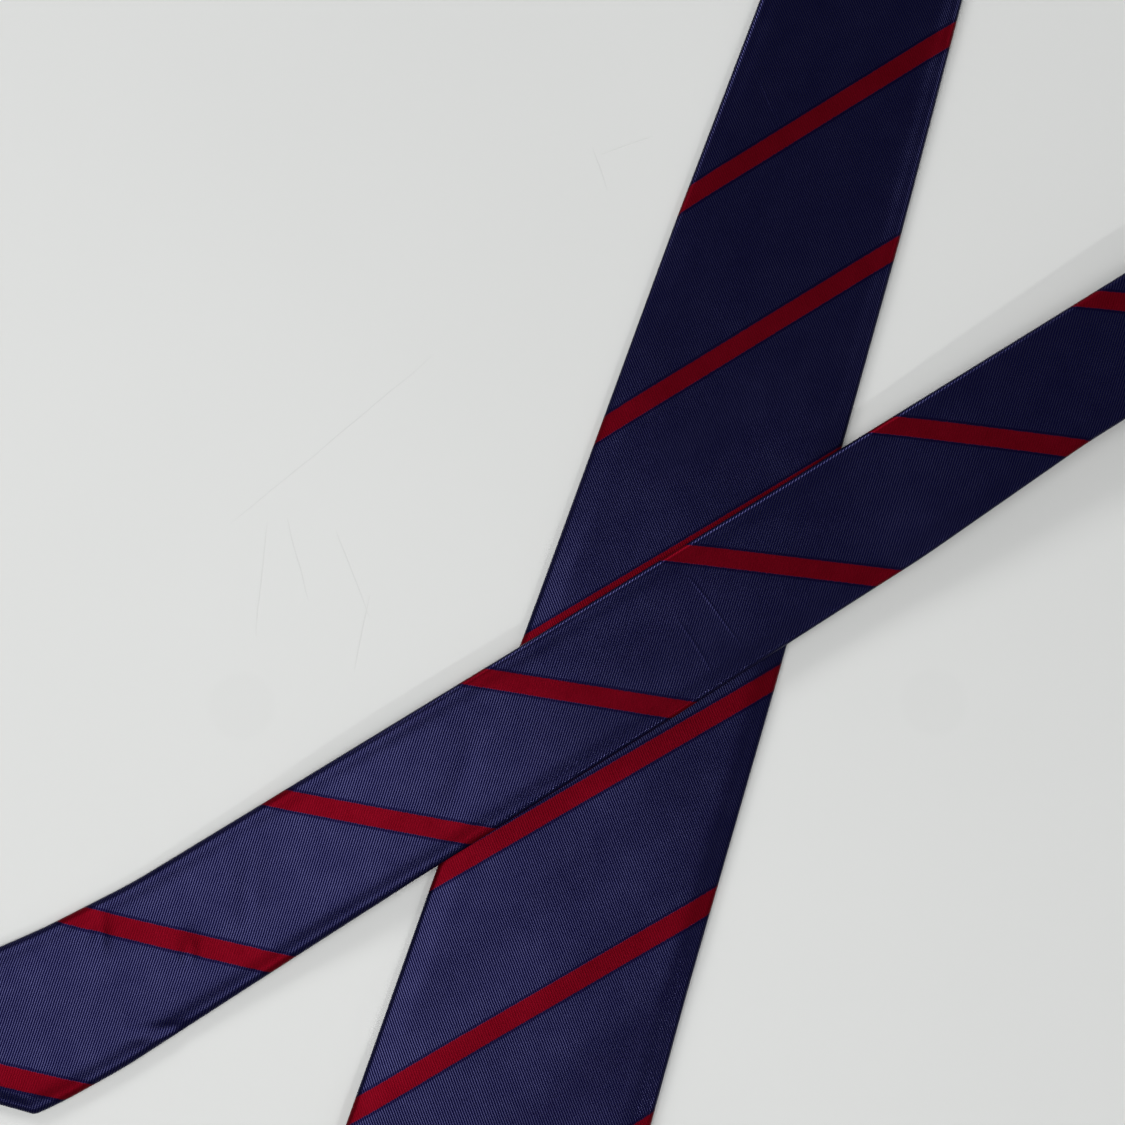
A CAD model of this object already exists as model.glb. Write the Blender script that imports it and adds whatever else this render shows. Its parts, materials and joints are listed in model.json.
import json
import math

import bpy
import numpy as np
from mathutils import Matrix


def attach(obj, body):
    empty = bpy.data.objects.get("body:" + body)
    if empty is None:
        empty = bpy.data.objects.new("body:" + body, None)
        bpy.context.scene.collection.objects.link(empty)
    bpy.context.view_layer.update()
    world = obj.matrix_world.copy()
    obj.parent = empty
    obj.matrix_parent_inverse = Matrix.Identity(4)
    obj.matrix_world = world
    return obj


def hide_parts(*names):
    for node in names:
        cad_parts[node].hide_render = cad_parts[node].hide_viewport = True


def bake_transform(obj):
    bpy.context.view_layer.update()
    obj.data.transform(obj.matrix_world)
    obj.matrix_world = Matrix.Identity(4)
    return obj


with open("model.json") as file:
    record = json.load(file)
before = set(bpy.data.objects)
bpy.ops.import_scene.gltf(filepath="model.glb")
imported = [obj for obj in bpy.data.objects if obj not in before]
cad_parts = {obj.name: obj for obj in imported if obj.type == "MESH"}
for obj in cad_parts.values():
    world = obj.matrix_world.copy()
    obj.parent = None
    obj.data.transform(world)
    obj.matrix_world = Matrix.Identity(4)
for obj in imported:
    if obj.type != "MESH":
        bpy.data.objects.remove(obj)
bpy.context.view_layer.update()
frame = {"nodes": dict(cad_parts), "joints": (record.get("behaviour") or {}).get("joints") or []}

MM = 0.001


# ---- Table top and light ----
# The tie lies on a smooth pale laminate top that has seen some use: a few hair scratches and
# two faint round marks. It is lit by a broad window near it, a far window behind, a pale wall
# to the right and a small lamp at the near right.


def add(tree, kind, *values, **settings):
    """A node with its settings, and its inputs set or linked in order."""
    made = tree.nodes.new(kind)
    for name, value in settings.items():
        setattr(made, name, value)
    for slot, value in zip(made.inputs, values):
        if isinstance(value, bpy.types.NodeSocket):
            tree.links.new(value, slot)
        elif value is not None:
            slot.default_value = value
    return made


def calc(tree, operation, *values):
    return add(tree, "ShaderNodeMath", *values, operation=operation).outputs[0]


def mix(tree, share, a, b):
    made = tree.nodes.new("ShaderNodeMix")
    made.data_type = "RGBA"
    for name, value in (("Factor_Float", share), ("A_Color", a), ("B_Color", b)):
        slot = next(s for s in made.inputs if s.identifier == name)
        if isinstance(value, bpy.types.NodeSocket):
            tree.links.new(value, slot)
        else:
            slot.default_value = value
    return next(s for s in made.outputs if s.identifier == "Result_Color")


def group(name, ins, outs):
    """A shader group with these sockets, and its input and output nodes."""
    tree = bpy.data.node_groups.new(name, "ShaderNodeTree")
    for label, kind, value in ins:
        made = tree.interface.new_socket(label, in_out="INPUT", socket_type=kind)
        if value is not None:
            made.default_value = value
    for label, kind in outs:
        tree.interface.new_socket(label, in_out="OUTPUT", socket_type=kind)
    return tree, tree.nodes.new("NodeGroupInput"), tree.nodes.new("NodeGroupOutput")


def use(tree, shared, *values):
    made = tree.nodes.new("ShaderNodeGroup")
    made.node_tree = shared
    for slot, value in zip(made.inputs, values):
        if isinstance(value, bpy.types.NodeSocket):
            tree.links.new(value, slot)
        elif value is not None:
            slot.default_value = value
    return made


def new_material(name, rough, **sockets):
    made = bpy.data.materials.new(name)
    made.use_nodes = True
    tree = made.node_tree
    shader = tree.nodes["Principled BSDF"]
    shader.inputs["Roughness"].default_value = rough
    for label, value in sockets.items():
        shader.inputs[label.replace("_", " ")].default_value = value
    return made, tree, shader


FLOAT, COLOR, VECTOR = "NodeSocketFloat", "NodeSocketColor", "NodeSocketVector"


def hair_line_group():
    """1 on a hair-thin line between two points of the plan, fading to 0 off it. Creases in the
    cloth and scratches in the table top share it."""
    tree, ins, outs = group(
        "Hair Line",
        [
            ("Place", VECTOR, None),
            ("Start", VECTOR, None),
            ("End", VECTOR, None),
            ("Width", FLOAT, 0.0003),
            ("Wander", FLOAT, 0.002),
        ],
        [("Line", FLOAT)],
    )
    wander = add(tree, "ShaderNodeTexNoise", ins.outputs[0], None, 60.0, 1.0)
    shift = add(tree, "ShaderNodeVectorMath", wander.outputs["Color"], (0.5, 0.5, 0.5),
                operation="SUBTRACT").outputs[0]
    shift = add(tree, "ShaderNodeVectorMath", shift, operation="SCALE")
    tree.links.new(ins.outputs[4], shift.inputs["Scale"])
    place = add(tree, "ShaderNodeVectorMath", ins.outputs[0], shift.outputs[0]).outputs[0]
    flat = add(tree, "ShaderNodeVectorMath", place, (1.0, 1.0, 0.0), operation="MULTIPLY").outputs[0]
    run = add(tree, "ShaderNodeVectorMath", ins.outputs[2], ins.outputs[1],
              operation="SUBTRACT").outputs[0]
    here = add(tree, "ShaderNodeVectorMath", flat, ins.outputs[1], operation="SUBTRACT").outputs[0]
    dot = add(tree, "ShaderNodeVectorMath", here, run, operation="DOT_PRODUCT").outputs["Value"]
    square = add(tree, "ShaderNodeVectorMath", run, run, operation="DOT_PRODUCT").outputs["Value"]
    share = calc(tree, "DIVIDE", dot, square)
    held = add(tree, "ShaderNodeClamp", share, 0.0, 1.0).outputs[0]
    foot = add(tree, "ShaderNodeVectorMath", run, operation="SCALE")
    tree.links.new(held, foot.inputs["Scale"])
    away = add(tree, "ShaderNodeVectorMath", here, foot.outputs[0], operation="DISTANCE").outputs["Value"]
    near = calc(tree, "SUBTRACT", 1.0, calc(tree, "DIVIDE", away, ins.outputs[3]))
    near = add(tree, "ShaderNodeClamp", near, 0.0, 1.0).outputs[0]
    ends = calc(tree, "MULTIPLY", calc(tree, "MULTIPLY", held, calc(tree, "SUBTRACT", 1.0, held)), 4.0)
    tree.links.new(calc(tree, "MULTIPLY", near, calc(tree, "POWER", ends, 0.4)), outs.inputs[0])
    return tree


hair_line = hair_line_group()

LAMINATE_DARK, LAMINATE_LIGHT = (0.66, 0.665, 0.65, 1), (0.72, 0.725, 0.71, 1)
RING_COLOR, SCRATCH_COLOR = (0.62, 0.625, 0.61, 1), (0.5, 0.5, 0.49, 1)
RING_INNER, RING_OUTER = 7.5 * MM, 9.5 * MM
RINGS = [(-0.107, -0.015), (0.072, -0.014)]
SCRATCH_WANDER = 1.2 * MM
# From, to and width of each scratch
SCRATCHES = [
    ((-0.111, 0.032), (-0.058, 0.077), 0.22 * MM),
    ((-0.101, 0.033), (-0.1035, 0.003), 0.2 * MM),
    ((-0.096, 0.034), (-0.090, 0.012), 0.2 * MM),
    ((-0.083, 0.031), (-0.074, 0.008), 0.2 * MM),
    ((-0.074, 0.014), (-0.078, -0.006), 0.2 * MM),
    ((-0.016, 0.133), (-0.012, 0.121), 0.2 * MM),
    ((-0.014, 0.131), (0.000, 0.136), 0.2 * MM),
]


def table_material():
    made, tree, shader = new_material("table_laminate", 0.34, Specular_IOR_Level=0.12)
    place = add(tree, "ShaderNodeTexCoord").outputs["Object"]
    cloud = add(tree, "ShaderNodeTexNoise", place, None, 5.0, 3.0).outputs[0]
    color = mix(tree, cloud, LAMINATE_DARK, LAMINATE_LIGHT)
    marks = None
    for a, b, w in SCRATCHES:
        line = use(tree, hair_line, place, (*a, 0), (*b, 0), w, SCRATCH_WANDER).outputs[0]
        marks = line if marks is None else calc(tree, "MAXIMUM", marks, line)
    for spot in RINGS:
        away = add(tree, "ShaderNodeVectorMath", place, (*spot, 0), operation="DISTANCE")
        ring = add(tree, "ShaderNodeMapRange", away.outputs["Value"], RING_INNER, RING_OUTER, 1.0, 0.0)
        color = mix(tree, calc(tree, "MULTIPLY", ring.outputs[0], 0.16), color, RING_COLOR)
    color = mix(tree, calc(tree, "MULTIPLY", marks, 0.3), color, SCRATCH_COLOR)
    tree.links.new(color, shader.inputs["Base Color"])
    rough = add(tree, "ShaderNodeMapRange", cloud, 0.3, 0.7, 0.42, 0.5).outputs[0]
    tree.links.new(rough, shader.inputs["Roughness"])
    bump = add(tree, "ShaderNodeBump", 0.25, 0.0002)
    tree.links.new(calc(tree, "SUBTRACT", 1.0, marks), bump.inputs["Height"])
    tree.links.new(bump.outputs[0], shader.inputs["Normal"])
    return made


def put(name, points, faces, material):
    """A smooth-shaded mesh object at the origin."""
    mesh = bpy.data.meshes.new(name)
    mesh.from_pydata(np.asarray(points, float).tolist(), [], [list(map(int, f)) for f in faces])
    mesh.materials.append(material)
    mesh.polygons.foreach_set("use_smooth", [True] * len(mesh.polygons))
    mesh.update()
    made = bpy.data.objects.new(name, mesh)
    bpy.context.scene.collection.objects.link(made)
    return made


TABLE_HALF = 1.6
table = put(
    "table_top",
    [(x * TABLE_HALF, y * TABLE_HALF, 0) for x, y in ((-1, -1), (1, -1), (1, 1), (-1, 1))],
    [(0, 1, 2, 3)],
    table_material(),
)


def lamp(name, place, aim, size, power):
    """A round soft light at a place, turned to face another."""
    light = bpy.data.lights.new(name, "AREA")
    light.shape = "DISK"
    light.size, light.energy = size, power
    made = bpy.data.objects.new(name, light)
    bpy.context.scene.collection.objects.link(made)
    made.location = place
    way = np.array(aim, float) - np.array(place, float)
    level = math.hypot(way[0], way[1])
    made.rotation_euler = (math.atan2(level, -way[2]), 0, math.atan2(way[1], way[0]) - math.pi / 2)


lamp("window", place=(-0.40, -0.18, 1.05), aim=(-0.1, 0, 0), size=0.88, power=7.2)
lamp("far_window", place=(-1.5, 3.0, 1.9), aim=(0, 0, 0), size=1.2, power=52.0)
lamp("small_lamp", place=(0.62, -0.95, 1.25), aim=(0.1, 0.05, 0), size=0.07, power=3.3)
lamp("right_wall", place=(2.4, 1.2, 1.9), aim=(0, 0, 0), size=1.4, power=14.0)

ROOM_COLOR, ROOM_STRENGTH = (0.95, 0.97, 1.0, 1), 0.24
world = bpy.data.worlds.new("room")
world.use_nodes = True
world.node_tree.nodes["Background"].inputs["Color"].default_value = ROOM_COLOR
world.node_tree.nodes["Background"].inputs["Strength"].default_value = ROOM_STRENGTH
bpy.context.scene.world = world
bpy.context.scene.view_settings.view_transform = "Standard"


# ---- Outer cloth of the wide blade ----
# Navy silk twill with red stripes, cut on the bias, folded round the lining with soft rolled
# edges and lapped behind, 4 mm off centre. At the point its edges part over the tipping.

joint = {j["name"]: j for j in frame["joints"]}


def corners(node):
    return np.array([v.co for v in frame["nodes"][node].data.vertices], float)


def flat(v):
    return np.array([v[0], v[1]], float)


def left_of(v):
    return np.array([-v[1], v[0]])


# The ways the blades run, from the hinges that cross them and the rolls at the shoulders.
WIDE_LEFT = flat(joint["wide_tip_lift"]["axis"])
WIDE_WAY = -left_of(WIDE_LEFT)
NARROW_LEFT = -flat(joint["narrow_tip_lift"]["axis"])
NARROW_WAY = -left_of(NARROW_LEFT)
ROLL_A = -flat(joint["wide_shoulder_unfold"]["axis"])
ROLL_B = -flat(joint["narrow_shoulder_unfold"]["axis"])
MADE_T = 3.6 * MM
MID_H = MADE_T / 2
ROLL_Z = joint["wide_shoulder_unfold"]["pos_m"][2]
ROLL_R = ROLL_Z - MID_H
SLANT = math.acos(float(WIDE_WAY @ ROLL_A))
COS, SIN = math.cos(SLANT), math.sin(SLANT)
STEP = ROLL_R * math.pi
AROUND = STEP / SIN

FOLD_A = flat(joint["wide_shoulder_unfold"]["pos_m"])
LEG = float(FOLD_A @ WIDE_WAY)
WIDE_REACH = -float((corners("wide_tip_shell")[:, :2] @ WIDE_WAY).min())
NARROW_REACH = float((corners("narrow_tip_shell")[:, :2] @ NARROW_WAY).max())
LEAVES_B = flat(joint["narrow_shoulder_unfold"]["pos_m"])
FOLD_B = LEAVES_B - ROLL_B * STEP * COS / SIN
LEAVES_A = FOLD_A + ROLL_A * STEP * COS / SIN
NECK_LEN = float(np.hypot(*(FOLD_B - LEAVES_A)))

# Distances along the tie, from the wide point
S_CROSS = WIDE_REACH
S_A = WIDE_REACH + LEG
S_NECK = S_A + AROUND
S_B = S_NECK + NECK_LEN
S_NARROW = S_B + AROUND
S_OVER = S_NARROW + LEG
S_SEAM_A = S_NECK + 60 * MM
S_SEAM_B = S_OVER - 250 * MM
# The narrow point swings aside, so it ends a little short of its full reach.
S_POINT = S_OVER + NARROW_REACH - 3 * MM


def eased(x, table, spread=5 * MM):
    """A table of (place, value) pairs in mm, read at x in metres and softly rounded."""
    xs, vs = np.array([p[0] for p in table]) * MM, np.array([p[1] for p in table], float)
    return sum(np.interp(x + k * spread, xs, vs) for k in (-1, -0.5, 0, 0.5, 1)) / 5


HUMP = 1.2
WIDE_HEIGHTS = [(0, 0), (79, 0), (93, HUMP), (192, HUMP), (205, 0)]
# Measured from where the narrow blade crosses over the wide one
NARROW_HEIGHTS = [
    (-400, 11), (-215, 10.9), (-150, 9.9), (-100, 6.9), (-62, 4.1), (-40, 3.72),
    (60, 3.72), (86, 3.1), (112, 1.4), (140, 0.25), (160, 0),
]
LEVEL_END = 13.6 * MM


def wide_under(s):
    """Height of the wide blade's back, which humps over the keeper loop and the labels."""
    return eased(s, WIDE_HEIGHTS, 4 * MM) * MM


def narrow_under(s):
    """Height of the narrow blade's back, down from the shoulder, over the wide blade and down
    to the table."""
    return eased(s - S_OVER, NARROW_HEIGHTS, 8 * MM) * MM


def neck_under(s):
    """Height of the neck band's lower side, which slopes between two level ends."""
    return np.interp(s, [S_NECK + LEVEL_END, S_B - LEVEL_END], [2 * ROLL_Z - MADE_T, 0])


# Each wave: height in mm, length per radian in mm, lean in radians per metre, and phase
WAVES = [(0.10, 14.5, 70, 0), (0.08, 9.3, -130, 1.3), (0.06, 6.1, 260, 0.6), (0.09, 31, 45, 2.1)]
# Each dent: place past the crossing and to the left, half width and half length, height, turn
DENTS = [
    (158, -13.5, 2.0, 6, -0.7, 0.56),
    (141, 2, 2.0, 5, -0.75, 0.56),
    (120, -2, 4, 12, -0.7, 0.56),
    (156, 18.5, 1.6, 8, 0.45, -1.0),
    (152, 18, 1.2, 8, -0.55, -1.0),
    (60, 2, 3, 12, -0.25, 0.9),
]
RIPPLE_FADE = 30 * MM


def ripple(s, y):
    """The soft waves of pressed cloth over a loose lining, with a few deeper dents. They fade
    out between the shoulders."""
    waves = sum(
        height * np.sin(s / (length * MM) + lean * y + phase) for height, length, lean, phase in WAVES)
    for past, left, wide, long, height, turn in DENTS:
        a, b = s - S_OVER - past * MM, y - left * MM
        across = (a * math.cos(turn) - b * math.sin(turn)) / (wide * MM)
        along = (a * math.sin(turn) + b * math.cos(turn)) / (long * MM)
        waves = waves + height * np.exp(-across**2 - along**2)
    places = [S_A - RIPPLE_FADE, S_A, S_NARROW, S_NARROW + RIPPLE_FADE]
    return waves * np.interp(s, places, [1, 0, 0, 1]) * MM


def lay(s, y, h):
    """Where a point of the tie lies: s along it, y to its left and h up from its back."""
    s, y, h = (np.array(v, float) for v in np.broadcast_arrays(s, y, h))
    rise = np.clip(h / MADE_T, 0, 1) ** 2 * ripple(s, y)
    h = h + rise
    out = np.zeros(s.shape + (3,))
    along, past = (s - S_A) * COS - y * SIN, (s - S_A) * SIN + y * COS
    along_b, past_b = (s - S_B) * COS + y * SIN, (s - S_B) * SIN - y * COS
    over_a, over_b = left_of(ROLL_A), left_of(ROLL_B)

    on = past <= 0
    plan = (s - S_CROSS)[..., None] * WIDE_WAY + y[..., None] * WIDE_LEFT
    out[on] = np.concatenate([plan, (wide_under(s) + h)[..., None]], -1)[on]
    for lies, a, p, home, way, over, inner in (
        ((past > 0) & (past < STEP), along, past, FOLD_A, ROLL_A, over_a, ROLL_Z - h),
        ((past_b > 0) & (past_b < STEP), along_b, past_b, FOLD_B, ROLL_B, over_b,
         ROLL_Z - MADE_T + h),
    ):
        turn = p / ROLL_R
        plan = home + a[..., None] * way + (inner * np.sin(turn))[..., None] * over
        z = ROLL_Z - inner * np.cos(turn)
        out[lies] = np.concatenate([plan, z[..., None]], -1)[lies]
    on = (past >= STEP) & (past_b <= 0)
    plan = FOLD_A + along[..., None] * ROLL_A - (past - STEP)[..., None] * over_a
    out[on] = np.concatenate([plan, (neck_under(s) + MADE_T - h)[..., None]], -1)[on]
    on = past_b >= STEP
    plan = FOLD_B + along_b[..., None] * ROLL_B - (past_b - STEP)[..., None] * over_b
    out[on] = np.concatenate([plan, (narrow_under(s) + h)[..., None]], -1)[on]
    return out


def skew(s):
    """How the rows of the mesh slant, to meet each shoulder and each bias seam."""
    k = COS / SIN
    table = [
        (0, 0), (S_A - 60 * MM, 0), (S_A, -k), (S_NECK, -k), (S_SEAM_A, -1),
        (S_SEAM_A + 75 * MM, 0), (S_B, k), (S_NARROW, k), (S_NARROW + 40 * MM, -0.1),
        (S_SEAM_B, -1), (S_SEAM_B + 60 * MM, 0), (2, 0),
    ]
    return np.interp(s, [p[0] for p in table], [p[1] for p in table])


POINT_ROUND = 0.8 * MM
# Each edge: distance from the wide point, or past the crossing, and half width there, in mm
WIDE_LEFT_EDGE = [
    (0, 41.5), (41, 41), (250, 35.8), (320, 32.9), (430, 29), (485, 26.3), (660, 18), (920, 16),
]
WIDE_RIGHT_EDGE = [
    (0, 41.5), (41, 41), (240, 34.0), (320, 32.2), (445, 28.3), (660, 18), (920, 16),
]
NARROW_LEFT_EDGE = [
    (-340, 16), (-150, 13.7), (-120, 13.8), (-70, 16.4), (0, 17), (82, 17), (170, 18.2), (188, 17.2),
    (204, 15),
]
NARROW_RIGHT_EDGE = [
    (-340, 16), (-200, 17.2), (-70, 18), (34, 18.7), (110, 19.6), (145, 20.1), (170, 22.3), (204, 27.5),
]
POINT_SIDE = 5 * MM
POINT_SKEW = 1.08
BAND_START = 20 * MM


def half_width(s, side):
    """From the centre line to the edge, on the left (1) or the right (-1)."""
    d = np.maximum(s - POINT_ROUND, 0)
    point = np.sqrt(d * (d + 2 * POINT_ROUND))
    wide = eased(s, WIDE_LEFT_EDGE if side > 0 else WIDE_RIGHT_EDGE) * MM
    wide = np.minimum(wide, point)
    narrow = eased(s - S_OVER, NARROW_LEFT_EDGE if side > 0 else NARROW_RIGHT_EDGE, 4 * MM) * MM
    d = np.maximum(S_POINT - POINT_ROUND - s, 0)
    point = np.sqrt(d * (d + 2 * POINT_ROUND)) * (POINT_SKEW if side > 0 else 1.0) - side * POINT_SIDE
    return np.where(s < S_B + BAND_START, wide, np.minimum(narrow, point))


def centre_line(s):
    """Where the middle of the face runs. It swings aside towards the narrow point."""
    return np.where(s > S_OVER, (half_width(s, 1) - half_width(s, -1)) / 2, 0.0)


# Where each stripe crosses the middle, in mm from the wide point, its number and its slant
STRIPES = [(227, 0, 1.10), (287, 1, 1.11), (347, 2, 1.14), (406, 3, 1.18), (469, 4, 1.2)]
NARROW_STRIPES = [
    (1160, 1, 1.2), (1221.5, 2, 1.24), (1283, 3, 1.14), (1342, 4, 1.10), (1401, 5, 1.0),
]
STRIPE_PITCH = 60
TWILL_LEAN = math.radians(40)
TWILL_PITCH = 0.615


def cloth_places(s, y):
    """(stripes passed, twill lines passed) at a point of the outer cloth, on its face."""
    mm, side = s / MM, y / MM
    out = np.zeros(s.shape + (2,))
    for table, chosen in ((STRIPES, s < S_B), (NARROW_STRIPES, s >= S_B)):
        at = np.array([t[0] for t in table])
        count, slope = np.array([t[1] for t in table], float), np.array([t[2] for t in table])
        mid = mm + slope.mean() * side
        for _ in range(4):
            mid = mm + np.interp(mid, at, slope) * side
        stripes = np.interp(mid, at, count)
        stripes = np.where(mid < at[0], count[0] + (mid - at[0]) / STRIPE_PITCH, stripes)
        stripes = np.where(mid > at[-1], count[-1] + (mid - at[-1]) / STRIPE_PITCH, stripes)
        out[..., 0] = np.where(chosen, stripes, out[..., 0])
    out[..., 1] = (mm * math.sin(TWILL_LEAN) - side * math.cos(TWILL_LEAN)) / TWILL_PITCH
    return out


CLOTH_T = 0.3 * MM
FACE_H = 3.45 * MM
EDGE_H = 1.55 * MM
EDGE_DROP = 0.5 * MM
ROLL_IN = 1.5 * MM
TURN_IN = 6 * MM
TURN_R = 0.25 * MM
LAP = 5 * MM
SEAM_Y = 4 * MM
LAP_LIFT = 0.85 * MM
LAP_RISES = 3.4 * MM
EDGE_SOFT = 2.6 * MM
LEAST_BACK = 0.25 * MM
SLOPE_STEP = 0.4 * MM
TILT_MOST = 1.5
EDGE_POINTS, BACK_POINTS, TURN_POINTS = 11, 16, 6
# Distance from each point, and half the gap between the back edges there, in mm
WIDE_GAP = [(12.7, 0), (44.7, 32), (92, 0)]
NARROW_GAP = [(12.7, 0), (25.2, 12.5), (54, 0)]
# Where the back edges start to lap behind each point, and how long they take
WIDE_LAPS, WIDE_LAP_RUN = 80 * MM, 20 * MM
NARROW_LAPS, NARROW_LAP_RUN = 44 * MM, 16 * MM


def opening(s):
    """Half the gap between the parted back edges near each point."""
    wide, narrow = (
        np.interp(run / MM, [p[0] for p in gap], [p[1] for p in gap]) * MM
        for run, gap in ((s, WIDE_GAP), (S_POINT - s, NARROW_GAP)))
    return np.where(s < S_CROSS, wide, narrow)


def closed(s):
    """0 where the back edges are parted, 1 where they lap."""
    wide, narrow = (s - WIDE_LAPS) / WIDE_LAP_RUN, (S_POINT - s - NARROW_LAPS) / NARROW_LAP_RUN
    t = np.where(s < S_CROSS, wide, narrow)
    t = np.clip(t, 0, 1)
    return t * t * (3 - 2 * t)


def half_path(s, side, count):
    """The middle of the cloth's thickness on one side of the tie, out from the face's middle,
    round the rolled edge and back to the turned-in edge behind."""
    edge = half_width(s, side)
    before, after = half_width(s - SLOPE_STEP, side), half_width(s + SLOPE_STEP, side)
    slope = (after - before) / (2 * SLOPE_STEP)
    tilt = np.clip(np.sqrt(1 + slope**2), 1, TILT_MOST)[:, None]
    edge = edge[:, None]
    mid = (side * centre_line(s))[:, None]
    deep = tilt * ROLL_IN
    swing = np.arccos(1 - np.clip((edge - mid) / deep, 0, 1))
    tuck = edge - deep * (1 - np.cos(swing))
    up, down = FACE_H - CLOTH_T / 2 - EDGE_DROP - EDGE_H, EDGE_H - CLOTH_T / 2
    drift = np.linspace(0, 1, count) ** 0.75
    v = mid + (tuck - mid) * drift
    far = np.exp(-(((tuck - v) / EDGE_SOFT) ** 2))
    z = EDGE_H + up * np.sin(swing) + EDGE_DROP * (1 - far)
    turn = np.linspace(1, -1, EDGE_POINTS)[None, 1:-1] * swing
    v = np.concatenate([v, edge - deep * (1 - np.cos(turn))], 1)
    z = np.concatenate([z, EDGE_H + np.where(turn > 0, up, down) * np.sin(turn)], 1)

    lap = closed(s)[:, None]
    gap = opening(s)[:, None]
    if side > 0:
        inner = np.maximum(gap, SEAM_Y * lap)
    else:
        inner = gap * (1 - lap) - (SEAM_Y + LAP) * lap
    inner = np.minimum(inner, tuck - LEAST_BACK)
    lift = LAP_LIFT if side < 0 else 0.0
    low = EDGE_H - down * np.sin(swing)
    v_back = tuck + (inner - tuck) * np.linspace(0, 1, BACK_POINTS)[None]
    rising = np.clip((LAP_RISES - SEAM_Y - v_back) / EDGE_SOFT, 0, 1)
    raise_by = lift * lap * rising**2 * (3 - 2 * rising)
    v = np.concatenate([v, v_back], 1)
    z = np.concatenate([z, low + raise_by], 1)
    spin = np.linspace(0, math.pi, TURN_POINTS)[None, 1:]
    base = low + raise_by[:, -1:]
    v = np.concatenate([v, inner - TURN_R * np.sin(spin)], 1)
    z = np.concatenate([z, base + TURN_R * (1 - np.cos(spin))], 1)
    long = np.minimum(TURN_IN * (1 - (0.8 * lap if side < 0 else 0)), 0.8 * (tuck - inner))
    ends = np.array([[0.35, 0.7, 1.0]])
    v = np.concatenate([v, inner + long * ends], 1)
    z = np.concatenate([z, np.repeat(base + 2 * TURN_R, 3, 1)], 1)
    return v, z


def cloth_path(s, face_points):
    """The whole section, from the right turned-in edge to the left: y, h and the distance
    round the cloth from the middle of its face."""
    paths = []
    for side in (-1, 1):
        v, z = half_path(s, side, face_points)
        run = np.cumsum(np.hypot(np.diff(v, axis=1), np.diff(z, axis=1)), 1)
        run = np.concatenate([np.zeros((len(s), 1)), run], 1) + v[:, :1]
        paths.append((side * v, z, side * run))
    (yr, zr, rr), (yl, zl, rl) = paths
    return [np.concatenate([r[:, :0:-1], l], 1) for r, l in ((yr, yl), (zr, zl), (rr, rl))]


def tube(rows, cols):
    """Faces of a closed tube of rows rings, each of cols points."""
    i, j = np.meshgrid(np.arange(rows - 1), np.arange(cols), indexing="ij")
    k = (j + 1) % cols
    ring, after = i * cols, (i + 1) * cols
    return np.stack([ring + j, ring + k, after + k, after + j], -1).reshape(-1, 4)


def outwards(made):
    """Turns the faces of a closed piece outwards."""
    mesh = made.data
    p = np.zeros(len(mesh.vertices) * 3)
    mesh.vertices.foreach_get("co", p)
    p = p.reshape(-1, 3)
    mesh.calc_loop_triangles()
    t = np.zeros(len(mesh.loop_triangles) * 3, int)
    mesh.loop_triangles.foreach_get("vertices", t)
    a, b, c = (p[t.reshape(-1, 3)[:, k]] - p.mean(0) for k in range(3))
    if (a * np.cross(b, c)).sum() < 0:
        mesh.flip_normals()
    mesh.update()
    return made


def set_uv(made, name, values):
    """One pair of values per vertex, as the piece's own UV map."""
    layer = made.data.uv_layers.new(name=name)
    index = np.zeros(len(made.data.loops), int)
    made.data.loops.foreach_get("vertex_index", index)
    layer.data.foreach_set("uv", np.asarray(values, float)[index].ravel())


# Rows are set closer towards each point, down to the smaller share of the usual step.
POINT_ZONE, POINT_EASE = 46 * MM, 30 * MM
POINT_SHARES = 0.18, 0.6


def strip_area(width, station):
    """Area of a strip opened out flat, from its width at each station along it."""
    return float(((width[1:] + width[:-1]) / 2 * np.diff(station)).sum())


def rolled_cloth(name, start, end, row_step, face_points, material):
    """One stretch of outer cloth, as a folded sheet with its thickness. Returns it with its
    flat size and area when opened out."""
    rows = [start]
    while rows[-1] < end - 1e-6:
        near_point = min(rows[-1], S_OVER + NARROW_REACH - rows[-1])
        fine = 1 if near_point > POINT_ZONE else np.clip(near_point / POINT_EASE, *POINT_SHARES)
        rows.append(min(rows[-1] + row_step * fine, end))
    if len(rows) > 2 and rows[-1] - rows[-2] < 0.3 * row_step:
        rows.pop(-2)
    station = np.array(rows)
    y, h, run = cloth_path(station, face_points)
    dy, dh = np.gradient(y, axis=1), np.gradient(h, axis=1)
    size = np.maximum(np.hypot(dy, dh), 1e-9)
    ny, nh = -dh / size, dy / size
    lean = skew(station)[:, None]
    layers, places = [], []
    for out in (0.5, -0.5):
        yy, hh = y + out * CLOTH_T * ny, h + out * CLOTH_T * nh
        s = station[:, None] + lean * yy
        layers.append(lay(s, yy, hh))
        places.append(cloth_places(s, run + 0 * s))
    ring = np.concatenate([layers[0], layers[1][:, ::-1]], 1)
    uv = np.concatenate([places[0], places[1][:, ::-1]], 1)
    n, m = ring.shape[:2]
    faces = tube(n, m).tolist()
    half = m // 2
    for row in (0, n - 1):
        j = np.arange(half - 1)
        cap = np.stack([j, j + 1, m - 2 - j, m - 1 - j], -1) + row * m
        faces += (cap if row else cap[:, ::-1]).tolist()
    made = outwards(put(name, ring.reshape(-1, 3), faces, material))
    set_uv(made, "Cloth", uv.reshape(-1, 2))
    width = run.max(1) - run.min(1)
    return made, (float(width.max()), float(end - start)), strip_area(width, station)


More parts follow.
